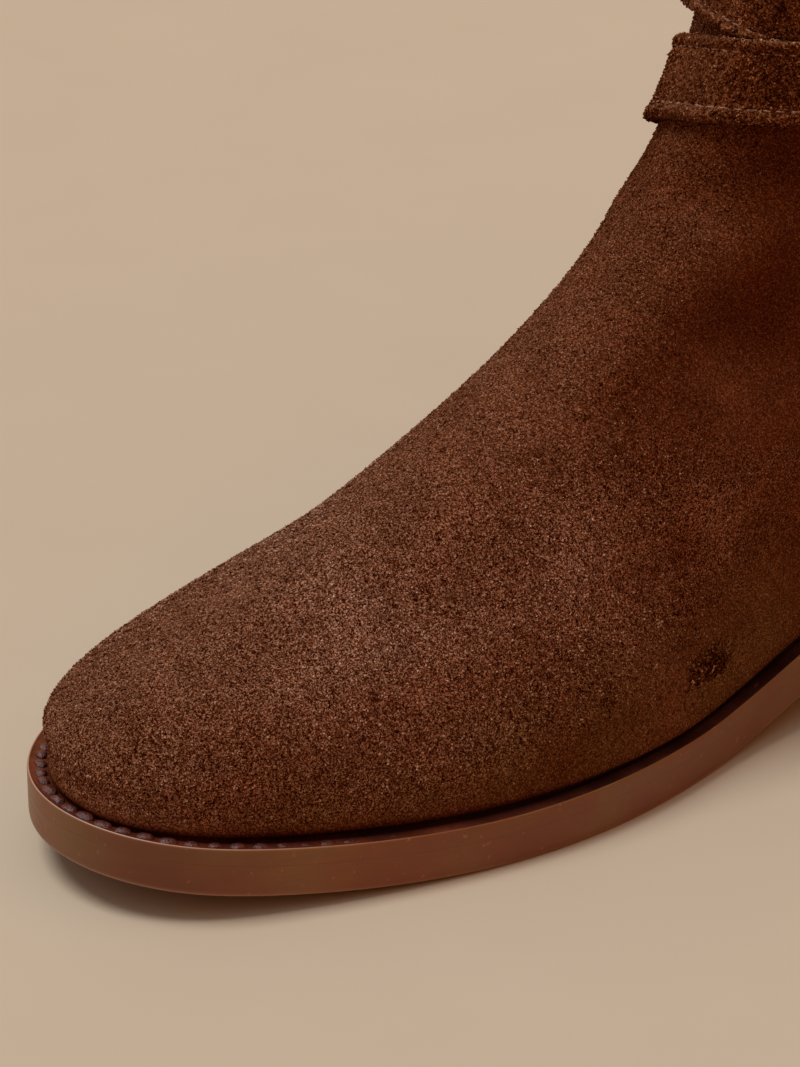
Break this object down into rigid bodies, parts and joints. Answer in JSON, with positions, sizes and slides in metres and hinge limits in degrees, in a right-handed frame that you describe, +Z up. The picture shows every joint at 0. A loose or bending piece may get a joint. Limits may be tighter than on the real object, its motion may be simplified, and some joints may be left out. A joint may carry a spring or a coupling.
{
  "type": "ankle boot",
  "caption": "Right suede ankle boot with a hollow last-shaped upper, crossed ankle straps, a welted leather sole, a stacked heel and a rubber top lift.",
  "frame": {"origin": "on the floor under the middle of the boot's box", "axes": "+Z up, +Y from the toe to the heel along the boot's length, +X to the inner side of the foot"},
  "size_m": [0.1022, 0.298, 0.186],
  "materials": {
    "suede": "brushed nap",
    "sole_leather": "burnished satin",
    "insole_leather": "smooth",
    "heel_rubber": "matt"
  },
  "bodies": {
    "root": {"outsole": "sole_leather", "welt": "sole_leather", "heel_stack": "sole_leather", "heel_top_lift": "heel_rubber", "insole": "insole_leather", "upper": "suede", "strap_lower": "suede", "strap_upper": "suede"}
  },
  "joints": []
}
